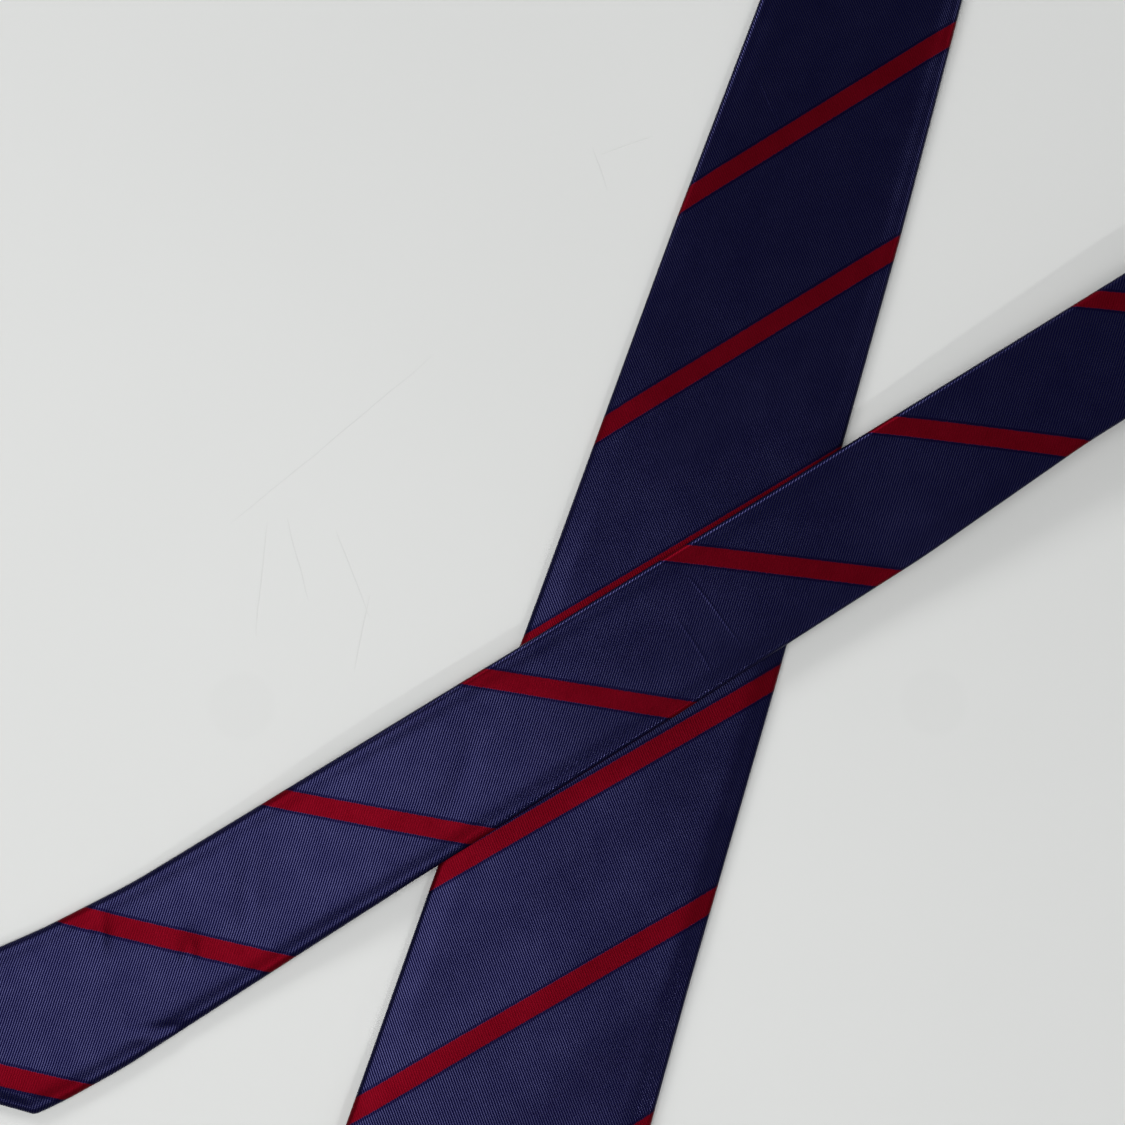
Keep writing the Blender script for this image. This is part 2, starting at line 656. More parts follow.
NAVY_GROUND, NAVY_BORDER = (0.0019, 0.0018, 0.021, 1), (0.0035, 0.002, 0.018, 1)
NAVY_SHEEN = (0.022, 0.022, 0.057, 1), (0.045, 0.045, 0.105, 1)
RED_SHEEN = (0.068, 0.0005, 0.0028, 1), (0.135, 0.0022, 0.0085, 1)
# Stripe spacing, and where the red and its dark border fade out, square to the stripe in mm
STRIPE_SPACING = 38.8
RED_EDGE, BORDER_EDGE = (2.28, 2.48), (2.95, 3.2)
FRAY, FRAY_GRAIN = 0.28, 1400.0
WARP, WARP_GRAIN = 0.3, 500.0
SOFT_GRAIN = 160.0
DASHES_PER_MM = 2.4
THREAD_HEIGHT = 0.02 * MM


def twill_group():
    """Colour, height and sheen of striped silk twill, from the counts of stripes and of twill
    lines passed."""
    tree, ins, outs = group(
        "Striped Twill",
        [("Counts", VECTOR, None), ("Place", VECTOR, None)],
        [("Color", COLOR), ("Roughness", FLOAT), ("Height", FLOAT), ("Sheen", FLOAT)],
    )
    part = add(tree, "ShaderNodeSeparateXYZ", ins.outputs[0])
    stripe, line = part.outputs[0], part.outputs[1]
    place = ins.outputs[1]
    fray = add(tree, "ShaderNodeTexNoise", place, None, FRAY_GRAIN, 1.0).outputs[0]
    soft = add(tree, "ShaderNodeTexNoise", place, None, SOFT_GRAIN, 2.0).outputs[0]
    cycle = calc(tree, "FRACT", calc(tree, "ADD", stripe, 100.5))
    middle = calc(tree, "ABSOLUTE", calc(tree, "SUBTRACT", cycle, 0.5))
    away = calc(tree, "MULTIPLY", middle, STRIPE_SPACING)
    away = calc(tree, "ADD", away, calc(tree, "MULTIPLY", calc(tree, "SUBTRACT", fray, 0.5), FRAY))
    red = add(tree, "ShaderNodeMapRange", away, *RED_EDGE, 1.0, 0.0).outputs[0]
    rim = add(tree, "ShaderNodeMapRange", away, *BORDER_EDGE, 1.0, 0.0).outputs[0]
    warp = add(tree, "ShaderNodeTexNoise", place, None, WARP_GRAIN, 2.0).outputs[0]
    turn = calc(tree, "ADD", line, calc(tree, "MULTIPLY", calc(tree, "SUBTRACT", warp, 0.5), WARP))
    wave = calc(tree, "COSINE", calc(tree, "MULTIPLY", turn, 2 * math.pi))
    wave = add(tree, "ShaderNodeMapRange", wave, -0.25, 0.85, 0.0, 1.0).outputs[0]
    beat = calc(tree, "MULTIPLY", stripe, STRIPE_SPACING * DASHES_PER_MM)
    beat = calc(tree, "ADD", beat, calc(tree, "MULTIPLY", fray, 1.5))
    dash = calc(tree, "SINE", calc(tree, "MULTIPLY", beat, 2 * math.pi))
    dash = calc(tree, "ADD", 0.8, calc(tree, "MULTIPLY", dash, 0.2))
    thread = calc(tree, "MULTIPLY", wave, dash)
    navy = mix(tree, thread, NAVY_GROUND, mix(tree, soft, *NAVY_SHEEN))
    border = calc(tree, "MULTIPLY", calc(tree, "SUBTRACT", rim, red), 0.75)
    navy = mix(tree, border, navy, NAVY_BORDER)
    rib = calc(tree, "ADD", line, calc(tree, "MULTIPLY", fray, 0.8))
    rib = calc(tree, "SINE", calc(tree, "MULTIPLY", rib, 2 * math.pi))
    rib = add(tree, "ShaderNodeMapRange", rib, -1.0, 1.0, 0.0, 1.0).outputs[0]
    glow = calc(tree, "ADD", calc(tree, "MULTIPLY", rib, 0.55), calc(tree, "MULTIPLY", soft, 0.45))
    scarlet = mix(tree, glow, *RED_SHEEN)
    tree.links.new(mix(tree, red, navy, scarlet), outs.inputs[0])
    tree.links.new(mix(tree, thread, (0.42, 0.42, 0.42, 1), (0.25, 0.25, 0.25, 1)), outs.inputs[1])
    height = calc(tree, "MULTIPLY", calc(tree, "ADD", thread, red), THREAD_HEIGHT)
    sheen = calc(tree, "MINIMUM", calc(tree, "ADD", 0.3, calc(tree, "MULTIPLY", thread, 1.3)), 1.0)
    sheen = mix(tree, red, sheen, (0.5, 0.5, 0.5, 1))
    tree.links.new(height, outs.inputs[2])
    tree.links.new(sheen, outs.inputs[3])
    return tree


striped_twill = twill_group()

# From, to, width and share of the full height of each crease
CREASES = [
    ((0.0275, 0.151), (0.0335, 0.138), 0.5 * MM, 1.0),
    ((0.029, 0.145), (0.032, 0.137), 0.4 * MM, 0.6),
    ((0.0085, 0.018), (0.0215, 0.001), 0.5 * MM, 0.8),
    ((0.005, 0.008), (0.0145, -0.007), 0.6 * MM, 0.7),
]
CREASE_HEIGHT, CREASE_WANDER = 0.07 * MM, 1.5 * MM


def silk_material(name):
    made, tree, shader = new_material(name, 0.5)
    shader.inputs["Specular IOR Level"].default_value = 0.0
    counts = add(tree, "ShaderNodeUVMap", uv_map="Cloth").outputs[0]
    place = add(tree, "ShaderNodeTexCoord").outputs["Object"]
    cloth = use(tree, striped_twill, counts, place)
    tree.links.new(cloth.outputs[0], shader.inputs["Base Color"])
    tree.links.new(cloth.outputs[1], shader.inputs["Roughness"])
    tree.links.new(cloth.outputs[3], shader.inputs["Metallic"])
    height = cloth.outputs[2]
    creases = None
    for a, b, w, share in CREASES:
        line = use(tree, hair_line, place, (*a, 0), (*b, 0), w, CREASE_WANDER).outputs[0]
        line = calc(tree, "MULTIPLY", line, share * CREASE_HEIGHT)
        creases = line if creases is None else calc(tree, "ADD", creases, line)
    height = calc(tree, "ADD", height, creases)
    bump = add(tree, "ShaderNodeBump", 0.8, 1.0)
    tree.links.new(height, bump.inputs["Height"])
    tree.links.new(bump.outputs[0], shader.inputs["Normal"])
    return made


stripe_silk = silk_material("striped_silk_twill")


def bend_over(made):
    """Lets a piece bend with the tie at one of its two bending lines, over the run beyond it."""
    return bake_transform(made)


CLOTH_ROW, NARROW_ROW, SHOULDER_ROW = 2.6 * MM, 1.6 * MM, 1.2 * MM
START_IN = POINT_ROUND + 0.35 * MM
wide_cloth, wide_flat, wide_area = rolled_cloth(
    "wide_outer_cloth", START_IN, S_A, CLOTH_ROW, 22, stripe_silk)
bend_over(wide_cloth)
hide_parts("wide_blade_shell", "wide_tip_shell")


# ---- Wide shoulder fold ----
# The same silk rolls over softly here, where the wide blade turns into the neck band. It is
# not pressed to a crease, so it opens out flat again.


def roll_over(made):
    """Opens out a rolled shoulder: its low side stays with body a and its high side with b."""
    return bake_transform(made)


fold_a_cloth, fold_a_flat, fold_a_area = rolled_cloth(
    "wide_shoulder_cloth", S_A, S_NECK, SHOULDER_ROW, 14, stripe_silk)
roll_over(fold_a_cloth)
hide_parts("wide_shoulder_fold")


# ---- Outer cloth of the neck band ----
# The band that goes round the collar, of the same silk. It lies face down between the
# shoulders, in two pieces of cloth that are sewn together on the bias.

neck_end, neck_end_flat, neck_end_area = rolled_cloth(
    "wide_cloth_neck_end", S_NECK, S_SEAM_A, CLOTH_ROW, 14, stripe_silk)
neck_cloth, neck_flat, neck_area = rolled_cloth(
    "neck_outer_cloth", S_SEAM_A, S_B, CLOTH_ROW, 14, stripe_silk)
for made, size, area in (
    (neck_end, neck_end_flat, neck_end_area),
    (neck_cloth, neck_flat, neck_area),
):
    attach(made, "neck")
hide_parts("neck_shell")


# ---- Narrow shoulder fold ----
# The neck band rolls up and over here into the narrow blade, in one piece of silk. Like the
# wide shoulder, it is not pressed to a crease.

fold_b_cloth, fold_b_flat, fold_b_area = rolled_cloth(
    "narrow_shoulder_cloth", S_B, S_NARROW, SHOULDER_ROW, 14, stripe_silk)
roll_over(fold_b_cloth)
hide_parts("narrow_shoulder_fold")


# ---- Outer cloth of the narrow blade ----
# The neck piece ends in a bias seam, and the narrow piece runs from there over the wide
# blade to its own point, which lies a little aside.

narrow_end, narrow_end_flat, narrow_end_area = rolled_cloth(
    "neck_cloth_narrow_end", S_NARROW, S_SEAM_B, CLOTH_ROW, 14, stripe_silk)
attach(narrow_end, "narrow_blade")

NARROW_END = S_POINT - START_IN
narrow_cloth, narrow_flat, narrow_area = rolled_cloth(
    "narrow_outer_cloth", S_SEAM_B, NARROW_END, NARROW_ROW, 30, stripe_silk)
bend_over(narrow_cloth)
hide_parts("narrow_blade_shell", "narrow_tip_shell")


# ---- Interlining ----
# A loose strip of brushed wool, cut on the bias, to the finished width. It runs the whole
# length inside the outer cloth and gives the tie its body.


def weave_group():
    """Height and shade of a plain weave, over and under at a named pitch, with some fuzz."""
    tree, ins, outs = group(
        "Plain Weave",
        [("Place", VECTOR, None), ("Pitch", FLOAT, 0.0005), ("Fuzz", FLOAT, 0.5), ("Lean", FLOAT, 0.0)],
        [("Shade", FLOAT), ("Height", FLOAT)],
    )
    turned = add(tree, "ShaderNodeVectorRotate", rotation_type="Z_AXIS")
    tree.links.new(ins.outputs[0], turned.inputs["Vector"])
    tree.links.new(ins.outputs[3], turned.inputs["Angle"])
    part = add(tree, "ShaderNodeSeparateXYZ", turned.outputs[0])
    waves = []
    for axis in (0, 1):
        turns = calc(tree, "DIVIDE", part.outputs[axis], ins.outputs[1])
        waves.append(calc(tree, "SINE", calc(tree, "MULTIPLY", turns, 2 * math.pi)))
    crossing = calc(tree, "MULTIPLY", waves[0], waves[1])
    fuzz = add(tree, "ShaderNodeTexNoise", ins.outputs[0], None, 900.0, 3.0).outputs[0]
    blotch = add(tree, "ShaderNodeTexNoise", ins.outputs[0], None, 120.0, 2.0).outputs[0]
    rough = calc(tree, "MULTIPLY", fuzz, ins.outputs[2])
    level = calc(tree, "ADD", calc(tree, "MULTIPLY", crossing, 0.5), calc(tree, "MULTIPLY", rough, 1.2))
    tree.links.new(level, outs.inputs[1])
    shade = calc(tree, "ADD", calc(tree, "MULTIPLY", level, 0.35), calc(tree, "MULTIPLY", blotch, 0.6))
    tree.links.new(shade, outs.inputs[0])
    return tree


plain_weave = weave_group()


def woven_material(name, dark, light, rough, pitch, fuzz, lean, deep):
    made, tree, shader = new_material(name, rough)
    shader.inputs["Specular IOR Level"].default_value = 0.25
    place = add(tree, "ShaderNodeTexCoord").outputs["Object"]
    cloth = use(tree, plain_weave, place, pitch, fuzz, lean)
    tree.links.new(mix(tree, cloth.outputs[0], dark, light), shader.inputs["Base Color"])
    bump = add(tree, "ShaderNodeBump", 0.7, deep)
    tree.links.new(cloth.outputs[1], bump.inputs["Height"])
    tree.links.new(bump.outputs[0], shader.inputs["Normal"])
    return made


interlining_cloth = woven_material(
    "brushed_interlining", (0.52, 0.49, 0.42, 1), (0.80, 0.78, 0.71, 1),
    rough=0.9, pitch=1.1 * MM, fuzz=0.9, lean=0.8, deep=0.3 * MM)
LINING_LOW = 1.06 * MM
LINING_INSET = 1.755 * MM
LINING_CLEAR = 0.1 * MM
LINING_LEAST = 0.2 * MM
LINING_POINTS = 15
LINING_ROW, SHOULDER_LINING_ROW, NECK_LINING_ROW = 1.8 * MM, 1.3 * MM, 4 * MM
LINING_SHORT = 1.8 * MM
# Over the lapped back edges its lower side is raised.
LAP_MIDDLE, LAP_SPREAD, LAP_RAISE = SEAM_Y + 2 * MM, 4.5 * MM, 0.72 * MM


def lining(name, start, end, row_step):
    """The interlining between two stations: it lies under the face and over the turned-in
    back edges, a little in from the rolled edges."""
    rows = max(int((end - start) / row_step), 3)
    s = np.linspace(start, end, rows + 1)
    across = np.cos(np.linspace(math.pi, 0, LINING_POINTS))[None]
    right = (LINING_INSET - half_width(s, -1))[:, None]
    left = (half_width(s, 1) - LINING_INSET)[:, None]
    centre = (left + right) / 2
    right, left = np.minimum(right, centre - LINING_LEAST), np.maximum(left, centre + LINING_LEAST)
    y = right + (left - right) * (across + 1) / 2
    edge = np.minimum(y - right, left - y)
    thin = 1 - np.exp(-((edge / EDGE_SOFT) ** 2))
    top = FACE_H - CLOTH_T - EDGE_DROP * (1 - 0.9 * thin) - LINING_CLEAR
    lapped = np.exp(-(((y - LAP_MIDDLE) / LAP_SPREAD) ** 2)) * closed(s)[:, None]
    low = LINING_LOW + LAP_RAISE * lapped
    middle = (top + low) / 2
    round_off = np.sqrt(np.clip(1 - np.abs(across) ** 6, 0, 1))
    upper, lower = middle + (top - middle) * round_off, middle - (middle - low) * round_off
    yy = np.concatenate([y, y[:, -2:0:-1]], 1)
    hh = np.concatenate([upper, lower[:, -2:0:-1]], 1)
    ring = lay(s[:, None] + skew(s)[:, None] * yy, yy, hh)
    n, m = ring.shape[:2]
    faces = tube(n, m).tolist() + [list(range(m))[::-1], list(range((n - 1) * m, n * m))]
    made = outwards(put(name, ring.reshape(-1, 3), faces, interlining_cloth))
    return made


wide_lining = bend_over(lining("wide_interlining", 2.2 * MM, S_A, LINING_ROW))
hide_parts("wide_blade_interlining", "wide_tip_interlining")
roll_over(lining("wide_shoulder_interlining", S_A, S_NECK, SHOULDER_LINING_ROW))
neck_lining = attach(lining("neck_band_interlining", S_NECK, S_B, NECK_LINING_ROW), "neck")
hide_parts("neck_interlining")
roll_over(lining("narrow_shoulder_interlining", S_B, S_NARROW, SHOULDER_LINING_ROW))
narrow_lining = lining("narrow_interlining", S_NARROW, NARROW_END - LINING_SHORT, NARROW_ROW)
bend_over(narrow_lining)
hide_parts("narrow_blade_interlining", "narrow_tip_interlining")


# ---- Tipping ----
# A panel of plain navy lining satin closes the back of each point. It is sewn to the hem all
# round and lies slack over the interlining where the back edges part.

tipping_satin = woven_material(
    "tipping_satin", (0.004, 0.005, 0.03, 1), (0.012, 0.014, 0.075, 1),
    rough=0.42, pitch=0.32 * MM, fuzz=0.25, lean=0.78, deep=0.05 * MM)
TIPPING_T, TIPPING_H = 0.15 * MM, 0.9 * MM
TIPPING_SAG, TIPPING_SLOPE = 0.45 * MM, 4 * MM
TIPPING_UNDER, TIPPING_IN, TIPPING_LEAST = 3 * MM, 2.2 * MM, 0.6 * MM


def place_of(node, which):
    """Lowest and highest (s, y, z) of a CAD node along the stretch of tie that it is on."""
    p = corners(node)
    if which == "wide":
        s, y = p[:, :2] @ WIDE_WAY + S_CROSS, p[:, :2] @ WIDE_LEFT
    elif which == "narrow":
        s, y = p[:, :2] @ NARROW_WAY + S_OVER, p[:, :2] @ NARROW_LEFT
    else:
        way = (FOLD_B - LEAVES_A) / NECK_LEN
        s, y = (p[:, :2] - LEAVES_A) @ way + S_NECK, -((p[:, :2] - LEAVES_A) @ left_of(way))
    q = np.stack([s, y, p[:, 2]], 1)
    return q.min(0), q.max(0)


def slab(name, s, y, low, high, material):
    """A closed sheet over a grid of places on the tie, between two heights."""
    n, m = s.shape
    sheets = [lay(s, y, high).reshape(-1, 3), lay(s, y, low).reshape(-1, 3)]
    i, j = np.meshgrid(np.arange(n - 1), np.arange(m - 1), indexing="ij")
    at, past = i * m + j, (i + 1) * m + j
    quad = np.stack([at, past, past + 1, at + 1], -1).reshape(-1, 4)
    rim = list(range(m)) + [k * m + m - 1 for k in range(1, n)]
    rim += [(n - 1) * m + k for k in range(m - 2, -1, -1)] + [k * m for k in range(n - 2, 0, -1)]
    k = np.array(rim)
    after = np.roll(k, -1)
    size = n * m
    sides = np.stack([k, after, after + size, k + size], -1)
    faces = np.concatenate([quad, quad[:, ::-1] + size, sides])
    return outwards(put(name, np.concatenate(sheets), faces, material))


def tipping(name, node, which, flip):
    """A slack panel under the parted back edges. It sags towards the table between them."""
    low, high = place_of(node, which)
    first, last = (low[0], high[0]) if flip > 0 else (high[0], low[0])
    u = np.linspace(0.02, 1, 30)[:, None]
    v = np.linspace(-1, 1, 19)[None]
    s = first + (last - first) * u + 0 * v
    reach_out = np.minimum(opening(s) + TIPPING_UNDER, half_width(s, 1) - TIPPING_IN)
    y = v * np.maximum(reach_out, TIPPING_LEAST)
    depth = np.clip((opening(s) - np.abs(y)) / TIPPING_SLOPE, 0, 1)
    h = TIPPING_H - TIPPING_SAG * depth * depth * (3 - 2 * depth)
    made = slab(name, s, y, h - TIPPING_T / 2, h + TIPPING_T / 2, tipping_satin)
    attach(made, f"{which}_tip")
    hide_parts(node)


tipping("wide_point_tipping", "wide_tipping", "wide", 1)
tipping("narrow_point_tipping", "narrow_tipping", "narrow", -1)


# ---- Bias seam strips ----
# Two pieces of the outer cloth meet in each of these, one near either end of the neck. The
# cut edges are turned in and pressed open, and lie inside the sleeve.

SEAM_HALF, SEAM_SHORT = 7.5 * MM, 1 * MM
SEAM_H, SEAM_HALF_T, SEAM_WAVE = 0.95 * MM, 0.07 * MM, 0.04 * MM
for name, node, which, body, mid in (
    ("wide_neck_seam_allowance", "wide_neck_seam", "neck", "neck", S_SEAM_A),
    ("narrow_neck_seam_allowance", "narrow_neck_seam", "narrow", "narrow_blade", S_SEAM_B),
):
    low, high = place_of(node, which)
    y = np.linspace(low[1] + SEAM_SHORT, high[1] - SEAM_SHORT, 15)[None]
    u = np.linspace(-SEAM_HALF, SEAM_HALF, 9)[:, None]
    s, y = mid + u - y, y + 0 * u
    pressed = SEAM_H + SEAM_WAVE * np.cos(u / MM * 0.9) + 0 * y
    made = slab(name, s, y, pressed - SEAM_HALF_T, pressed + SEAM_HALF_T, stripe_silk)
    set_uv(made, "Cloth", np.concatenate([cloth_places(s, y).reshape(-1, 2)] * 2))
    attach(made, body)
    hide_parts(node)
    long = float(high[1] - low[1] - 2 * SEAM_SHORT) * math.sqrt(2)


# ---- Keeper loop ----
# A strip of the same silk, folded flat and tacked at both ends behind the wide blade, to hold
# the narrow one.

KEEPER_WALL = 0.8 * CLOTH_T
KEEPER_FLAT, KEEPER_SQUARE = 0.6, 0.4
KEEPER_END, KEEPER_END_TALL = 4 * MM, 0.75
KEEPER_PUCKER = 0.03 * MM
low, high = place_of("keeper_loop", "wide")
base = float(wide_under(np.array([(low[0] + high[0]) / 2]))[0])
u = np.linspace(0, 2 * math.pi, 37)[:-1][None]
v = np.linspace(low[1], high[1], 41)[:, None]
middle_s, half_s = (low[0] + high[0]) / 2, (high[0] - low[0]) / 2
half_h, middle_h = (high[2] - low[2]) / 2, (high[2] + low[2]) / 2 - base
y = v + 0 * u
near_end = np.clip(np.minimum(v - low[1], high[1] - v) / KEEPER_END, 0, 1)
end_share = KEEPER_END_TALL + (1 - KEEPER_END_TALL) * near_end
walls, places = [], []
for inward in (0, KEEPER_WALL):
    wide, tall = half_s - inward, (half_h - inward) * end_share
    s = middle_s + wide * np.sign(np.cos(u)) * np.abs(np.cos(u)) ** KEEPER_FLAT
    h = middle_h + tall * np.sign(np.sin(u)) * np.abs(np.sin(u)) ** KEEPER_SQUARE
    pucker = KEEPER_PUCKER * np.sin(v / (3.1 * MM)) * np.sin(s / (1.4 * MM))
    walls.append(lay(s + 0 * v, y, h + pucker))
    around = (y / MM * 0.9 + s / MM) / STRIPE_PITCH, (y - s) / MM * 1.14
    places.append(np.stack([around[0] + 0 * v, around[1] + 0 * v], -1))
n, m = walls[0].shape[:2]
faces = tube(n, m)
size, k = n * m, np.arange(m)
after = (k + 1) % m
near_end_faces = np.stack([after, k, k + size, after + size], -1)
far_end_faces = np.stack([k, after, after + size, k + size], -1) + (n - 1) * m
keeper = put(
    "keeper_strip", np.concatenate([w.reshape(-1, 3) for w in walls]),
    np.concatenate([faces, faces[:, ::-1] + size, near_end_faces, far_end_faces]), stripe_silk)
outwards(keeper)
set_uv(keeper, "Cloth", np.concatenate([q.reshape(-1, 2) for q in places]))
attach(keeper, "wide_blade")
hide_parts("keeper_loop")


# ---- Labels ----
# A blank woven satin label across the back near the point, sewn along its two short ends, and
# a small blank care label beside the back seam. Neither carries any word or mark.

label_satin = woven_material(
    "label_satin", (0.52, 0.50, 0.44, 1), (0.76, 0.74, 0.67, 1),
    rough=0.5, pitch=0.25 * MM, fuzz=0.15, lean=0.32, deep=0.04 * MM)
LABEL_T, LABEL_CLEAR, LABEL_BORDER = 0.30 * MM, 0.05 * MM, 2.2 * MM
LABEL_PUFF, LABEL_WAVE, LABEL_WAVE_RUN = 0.04 * MM, 0.02 * MM, 2 * MM
for name, node, body in (
    ("blank_label", "maker_label", "wide_tip"),
    ("blank_care_label", "care_label", "wide_blade"),
):
    low, high = place_of(node, "wide")
    u, v = np.linspace(0, 1, 27)[:, None], np.linspace(0, 1, 41)[None]
    s = low[0] + (high[0] - low[0]) * u + 0 * v
    y = low[1] + (high[1] - low[1]) * v + 0 * u
    long, wide = high[0] - low[0], high[1] - low[1]
    border = np.minimum(np.minimum(u, 1 - u) * long, np.minimum(v, 1 - v) * wide)
    border = np.clip(border / LABEL_BORDER, 0, 1)
    puff = LABEL_PUFF * np.sin(border * math.pi) + LABEL_WAVE * np.sin(y / LABEL_WAVE_RUN) * border
    top = -LABEL_CLEAR
    bottom = top - LABEL_T - puff
    made = slab(name, s, y, bottom, top + 0 * s, label_satin)
    if body == "wide_tip":
        bend_over(made)
    else:
        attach(made, body)
    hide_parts(node)


# ---- Threads ----
# Loose slip stitches close the back, bars of thread hold the ends of that seam and of the
# keeper, and short running stitches hold the label.


def thread_group():
    """Shade and height of a two-ply thread, twisting round the stitch."""
    tree, ins, outs = group(
        "Twisted Thread", [("Place", VECTOR, None), ("Turn", FLOAT, 0.0004)],
        [("Shade", FLOAT), ("Height", FLOAT)])
    part = add(tree, "ShaderNodeSeparateXYZ", ins.outputs[0])
    run = calc(tree, "ADD", calc(tree, "ADD", part.outputs[0], part.outputs[1]), part.outputs[2])
    turns = calc(tree, "DIVIDE", run, ins.outputs[1])
    twist = calc(tree, "SINE", calc(tree, "MULTIPLY", turns, 2 * math.pi))
    fuzz = add(tree, "ShaderNodeTexNoise", ins.outputs[0], None, 3000.0, 2.0).outputs[0]
    level = calc(tree, "ADD", calc(tree, "MULTIPLY", twist, 0.5), calc(tree, "MULTIPLY", fuzz, 0.6))
    tree.links.new(level, outs.inputs[1])
    tree.links.new(calc(tree, "ADD", calc(tree, "MULTIPLY", level, 0.5), 0.3), outs.inputs[0])
    return tree


twisted_thread = thread_group()


def thread_material(name, dark, light):
    made, tree, shader = new_material(name, 0.55)
    shader.inputs["Specular IOR Level"].default_value = 0.3
    place = add(tree, "ShaderNodeTexCoord").outputs["Object"]
    twist = use(tree, twisted_thread, place, 0.4 * MM)
    tree.links.new(mix(tree, twist.outputs[0], dark, light), shader.inputs["Base Color"])
    bump = add(tree, "ShaderNodeBump", 0.6, 0.00005)
    tree.links.new(twist.outputs[1], bump.inputs["Height"])
    tree.links.new(bump.outputs[0], shader.inputs["Normal"])
    return made


navy_thread = thread_material("navy_thread", (0.004, 0.004, 0.02, 1), (0.02, 0.02, 0.07, 1))
cream_thread = thread_material("cream_thread", (0.50, 0.48, 0.40, 1), (0.78, 0.76, 0.68, 1))


def stitch_tree():
    """Stitches along an edge: each is a short arc of thread, set across or along the run."""
    tree = bpy.data.node_groups.new("Run of Stitches", "GeometryNodeTree")
    for label, kind, way in (
        ("Run", "NodeSocketGeometry", "INPUT"), ("Spacing", FLOAT, "INPUT"), ("Length", FLOAT, "INPUT"),
        ("Thread", FLOAT, "INPUT"), ("Turn", FLOAT, "INPUT"), ("Unevenness", FLOAT, "INPUT"),
        ("Seed", "NodeSocketInt", "INPUT"), ("Finish", "NodeSocketMaterial", "INPUT"),
        ("Stitches", "NodeSocketGeometry", "OUTPUT"),
    ):
        tree.interface.new_socket(label, in_out=way, socket_type=kind)
    ins, outs = tree.nodes.new("NodeGroupInput"), tree.nodes.new("NodeGroupOutput")
    run, spacing, length, thread, turn, uneven, seed, finish = ins.outputs[:8]
    curve = add(tree, "GeometryNodeMeshToCurve", run).outputs[0]
    points = add(tree, "GeometryNodeResampleCurve")
    points.mode = "LENGTH"
    tree.links.new(curve, points.inputs["Curve"])
    tree.links.new(spacing, points.inputs["Length"])
    half = calc(tree, "MULTIPLY", length, 0.5)
    start = add(tree, "ShaderNodeCombineXYZ", calc(tree, "MULTIPLY", half, -1.0), 0.0, 0.0).outputs[0]
    crest = add(tree, "ShaderNodeCombineXYZ", 0.0, 0.0, calc(tree, "MULTIPLY", thread, -0.8)).outputs[0]
    end = add(tree, "ShaderNodeCombineXYZ", half, 0.0, 0.0).outputs[0]
    arc = add(tree, "GeometryNodeCurveQuadraticBezier", 4, start, crest, end).outputs[0]
    ring = add(tree, "GeometryNodeCurvePrimitiveCircle")
    ring.inputs["Resolution"].default_value = 5
    tree.links.new(calc(tree, "MULTIPLY", thread, 0.5), ring.inputs["Radius"])
    stitch = add(tree, "GeometryNodeCurveToMesh")
    tree.links.new(arc, stitch.inputs["Curve"])
    tree.links.new(ring.outputs[0], stitch.inputs["Profile Curve"])
    stitch.inputs["Fill Caps"].default_value = True
    tangent = add(tree, "GeometryNodeInputTangent").outputs[0]
    face = add(tree, "FunctionNodeAlignRotationToVector", axis="X")
    tree.links.new(tangent, face.inputs["Vector"])
    wobble = add(tree, "FunctionNodeRandomValue", data_type="FLOAT")
    tree.links.new(calc(tree, "MULTIPLY", uneven, -1.0), wobble.inputs[2])
    tree.links.new(uneven, wobble.inputs[3])
    tree.links.new(seed, wobble.inputs["Seed"])
    angle = calc(tree, "ADD", turn, wobble.outputs[1])
    spin = add(tree, "FunctionNodeAxisAngleToRotation", (0.0, 0.0, 1.0), angle).outputs[0]
    both = add(tree, "FunctionNodeRotateRotation", rotation_space="LOCAL")
    tree.links.new(face.outputs[0], both.inputs["Rotation"])
    tree.links.new(spin, both.inputs["Rotate By"])
    many = add(tree, "GeometryNodeInstanceOnPoints")
    tree.links.new(points.outputs[0], many.inputs["Points"])
    tree.links.new(stitch.outputs[0], many.inputs["Instance"])
    tree.links.new(both.outputs[0], many.inputs["Rotation"])
    solid = add(tree, "GeometryNodeRealizeInstances", many.outputs[0]).outputs[0]
    done = add(tree, "GeometryNodeSetMaterial")
    tree.links.new(solid, done.inputs["Geometry"])
    tree.links.new(finish, done.inputs["Material"])
    tree.links.new(done.outputs[0], outs.inputs[0])
    return tree


run_of_stitches = stitch_tree()


def stitches(name, s, y, h, spacing, length, thread, turn, material, seed, uneven=0.12):
    """A plain mesh of stitches along places of the tie."""
    points = lay(s, y, h)
    mesh = bpy.data.meshes.new(name + "_run")
    mesh.from_pydata(points.tolist(), [(k, k + 1) for k in range(len(points) - 1)], [])
    made = bpy.data.objects.new(name, mesh)
    bpy.context.scene.collection.objects.link(made)
    sewn = made.modifiers.new("stitches", "NODES")
    sewn.node_group = run_of_stitches
    values = {"Spacing": spacing, "Length": length, "Thread": thread, "Turn": turn,
              "Unevenness": uneven, "Seed": seed, "Finish": material}
    for item in run_of_stitches.interface.items_tree:
        if item.item_type == "SOCKET" and item.in_out == "INPUT" and item.name in values:
            sewn[item.identifier] = values[item.name]
    seen = bpy.context.evaluated_depsgraph_get()
    plain = bpy.data.meshes.new_from_object(made.evaluated_get(seen))
    made.modifiers.clear()
    made.data = plain
    plain.name = name
    plain.polygons.foreach_set("use_smooth", [True] * len(plain.polygons))
    return made


SLIP_SIDE, SLIP_LEVEL = SEAM_Y + 0.2 * MM, -0.02 * MM
# How far the slip stitches stop short of a shoulder, and of the narrow one on its blade's side
SLIP_SHORT, SLIP_SHORT_NARROW = 3 * MM, 14 * MM


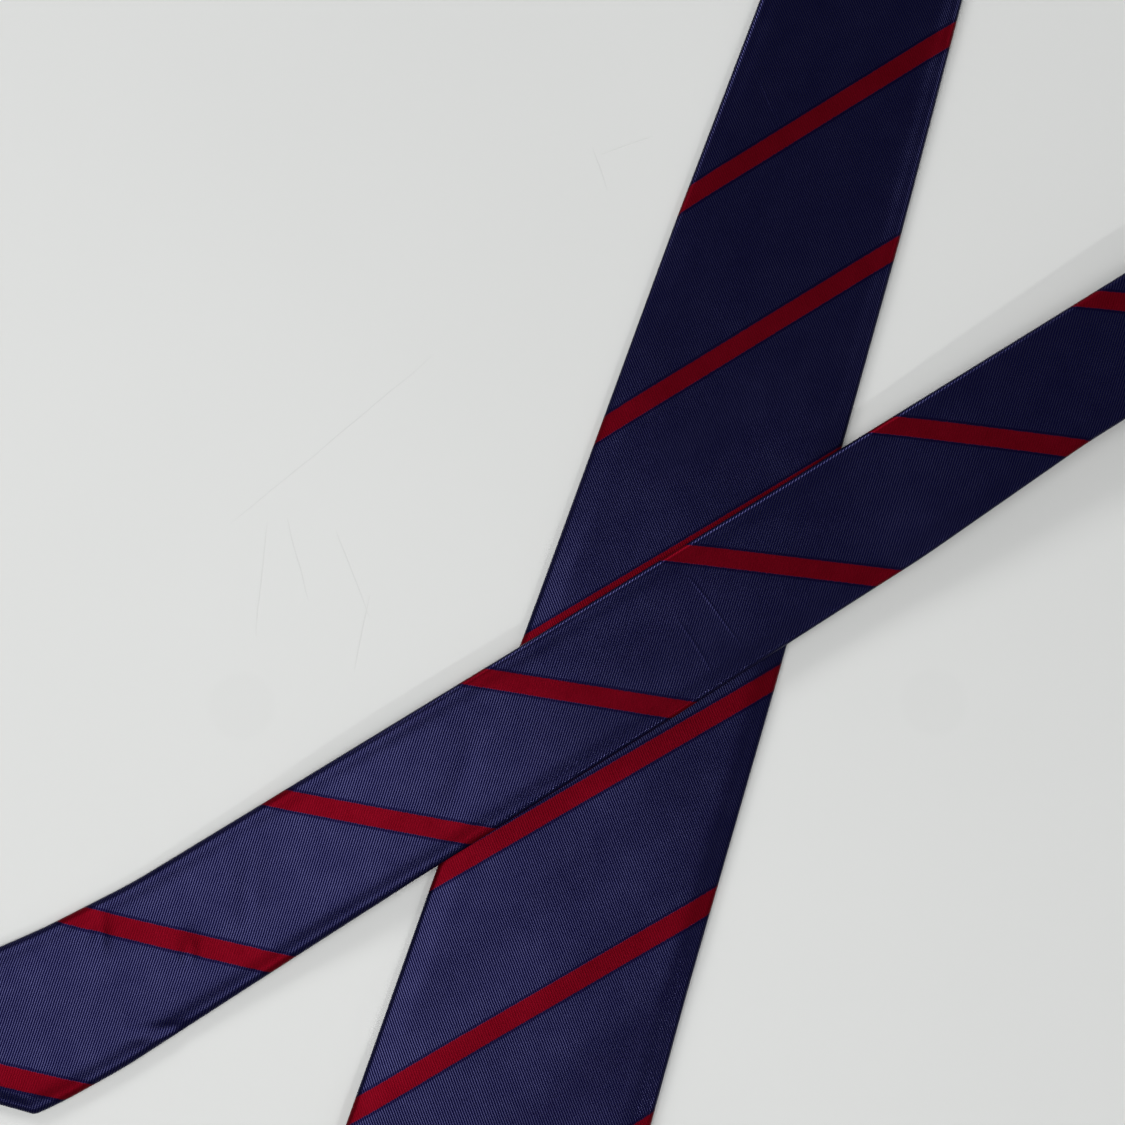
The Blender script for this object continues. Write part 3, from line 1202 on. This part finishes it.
def seam_run(start, end):
    """Places along the lapped back seam, just under the cloth."""
    s = np.linspace(start, end, max(int((end - start) / (2 * MM)), 4))
    return s, np.full(len(s), SLIP_SIDE), np.full(len(s), SLIP_LEVEL)


SLIP = dict(spacing=7.5 * MM, length=3.2 * MM, thread=0.2 * MM, turn=0.45, material=navy_thread)
low, high = place_of("wide_tip_slip_stitch", "wide")
wide_slip = stitches(
    "wide_slip_stitches", *seam_run(low[0], S_A - SLIP_SHORT), seed=3, **SLIP)
bend_over(wide_slip)
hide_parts("wide_tip_slip_stitch", "wide_blade_slip_stitch")
neck_slip = stitches(
    "neck_slip_stitches", *seam_run(S_NECK + SLIP_SHORT, S_B - SLIP_SHORT), seed=5, **SLIP)
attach(neck_slip, "neck")
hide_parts("neck_slip_stitch")
low, high = place_of("narrow_tip_slip_stitch", "narrow")
narrow_slip = stitches(
    "narrow_slip_stitches", *seam_run(S_NARROW + SLIP_SHORT_NARROW, high[0]), seed=7, **SLIP)
bend_over(narrow_slip)
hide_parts("narrow_tip_slip_stitch", "narrow_blade_slip_stitch")

BAR = dict(spacing=0.28 * MM, length=1.5 * MM, thread=0.3 * MM, turn=math.pi / 2)
RUNNING = dict(spacing=2.2 * MM, length=1.5 * MM, thread=0.22 * MM, turn=0.0)
BAR_POINTS = 12
BAR_LEVEL, KEEPER_BAR_LEVEL, LABEL_STITCH_LEVEL = -0.04 * MM, -1.0 * MM, -0.40 * MM
for name, node, which, body, material, run_way in (
    ("wide_seam_bar", "wide_bar_tack", "wide", "wide_tip", navy_thread, "y"),
    ("narrow_seam_bar", "narrow_bar_tack", "narrow", "narrow_tip", navy_thread, "y"),
    ("keeper_bar_left", "keeper_tack_left", "wide", "wide_blade", navy_thread, "s"),
    ("keeper_bar_right", "keeper_tack_right", "wide", "wide_blade", navy_thread, "s"),
    ("label_stitches_left", "maker_label_tack_left", "wide", "wide_tip", cream_thread, "s"),
    ("label_stitches_right", "maker_label_tack_right", "wide", "wide_tip", cream_thread, "s"),
):
    low, high = place_of(node, which)
    mid_s, mid_y = (low[0] + high[0]) / 2, (low[1] + high[1]) / 2
    t = np.linspace(0, 1, BAR_POINTS)
    s = low[0] + (high[0] - low[0]) * t if run_way == "s" else np.full(BAR_POINTS, mid_s)
    y = low[1] + (high[1] - low[1]) * t if run_way == "y" else np.full(BAR_POINTS, mid_y)
    kind, level = BAR, BAR_LEVEL
    if "keeper" in name:
        level = KEEPER_BAR_LEVEL
    if "label" in name:
        kind, level = RUNNING, LABEL_STITCH_LEVEL
    level = np.full(BAR_POINTS, level)
    made = stitches(name, s, y, level, material=material, seed=11, uneven=0.05, **kind)
    if "label" in name:
        bend_over(made)
    else:
        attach(made, body)
    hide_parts(node)


# ---- Camera ----
# It stands 0.35 m over the crossing and looks almost straight down, leaning 4 degrees. On the
# table it takes in a square with sides of about 0.29 m.

CAMERA_AWAY = 0.35
CAMERA_LEAN = math.radians(4)
CAMERA_AIM = np.array([-0.024, 0.022, MADE_T])
cam_data = bpy.data.cameras.new("camera")
camera = bpy.data.objects.new("camera", cam_data)
bpy.context.scene.collection.objects.link(camera)
cam_data.sensor_width = 36
cam_data.lens = 43.456
cam_data.clip_start = 0.02
cam_data.clip_end = 10
looks = np.array([0, math.sin(CAMERA_LEAN), -math.cos(CAMERA_LEAN)])
camera.location = (CAMERA_AIM - CAMERA_AWAY * looks).tolist()
camera.rotation_euler = (CAMERA_LEAN, 0, 0)
bpy.context.scene.camera = camera
